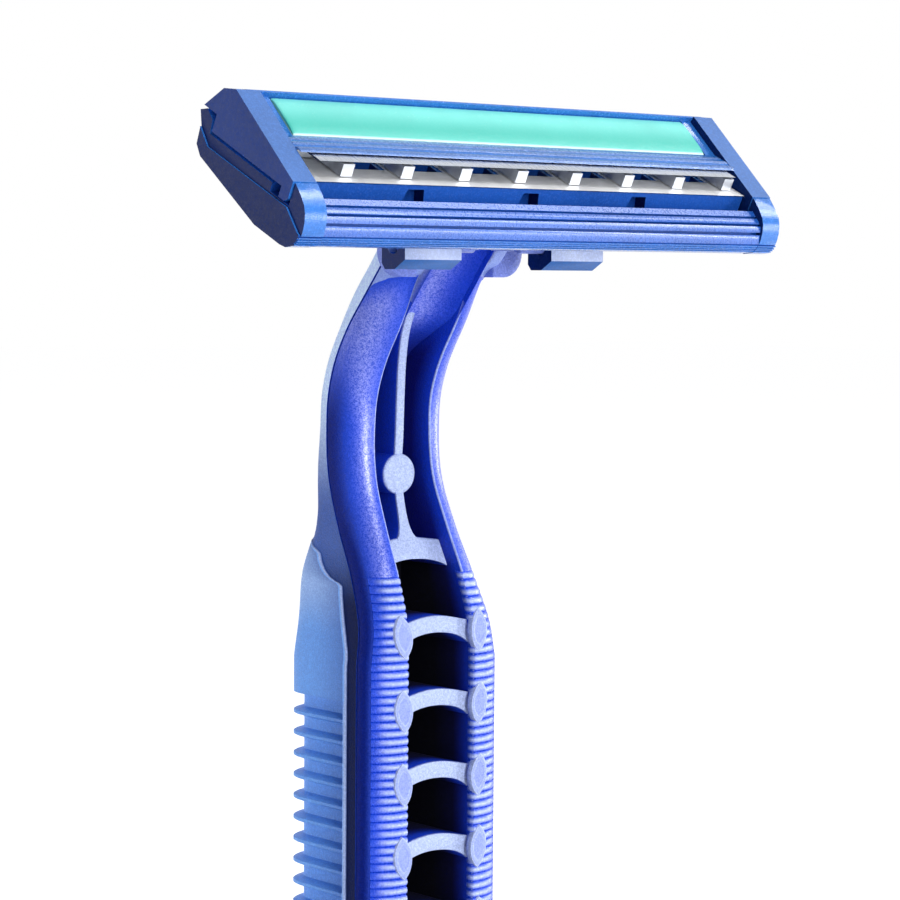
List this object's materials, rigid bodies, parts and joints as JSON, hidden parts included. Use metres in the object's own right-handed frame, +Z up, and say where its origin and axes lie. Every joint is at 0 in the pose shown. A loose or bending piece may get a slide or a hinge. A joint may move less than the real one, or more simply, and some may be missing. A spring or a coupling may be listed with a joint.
{
  "type": "disposable razor",
  "caption": "Twin-blade disposable razor with a pivoting head, lubricating strip and a ribbed plastic handle.",
  "frame": {"origin": "middle of the flat end of the handle's tail", "axes": "+X along the blades, -Y the shaving side, +Z up the handle to the head"},
  "size_m": [0.042, 0.0222, 0.118],
  "materials": {
    "handle_plastic": "grainy satin blue plastic",
    "head_plastic": "satin navy blue plastic",
    "blade_steel": "ground stainless steel",
    "strip_gel": "aqua polymer strip"
  },
  "bodies": {
    "handle_body": {"handle": "handle_plastic"},
    "finger_body": {"return_finger": "handle_plastic"},
    "head_body": {"platform": "head_plastic", "lower_blade": "blade_steel", "spacer": "blade_steel", "upper_blade": "blade_steel", "cap": "head_plastic", "lubricating_strip": "strip_gel"}
  },
  "joints": [
    {"name": "head_pivot", "type": "hinge", "parent": "handle_body", "child": "head_body", "pos_m": [0, -0.0099, 0.1085], "axis": [-1, 0, 0], "range_deg": [0, 40], "stiffness_Nm_per_rad": 0.01},
    {"name": "finger_flex", "type": "hinge", "parent": "handle_body", "child": "finger_body", "pos_m": [0, -0.00545, 0.1087], "axis": [1, 0, 0], "range_deg": [0, 9]}
  ],
  "couplings": [
    {"joint": "finger_flex", "follows": "head_pivot", "ratio": 0.2}
  ]
}
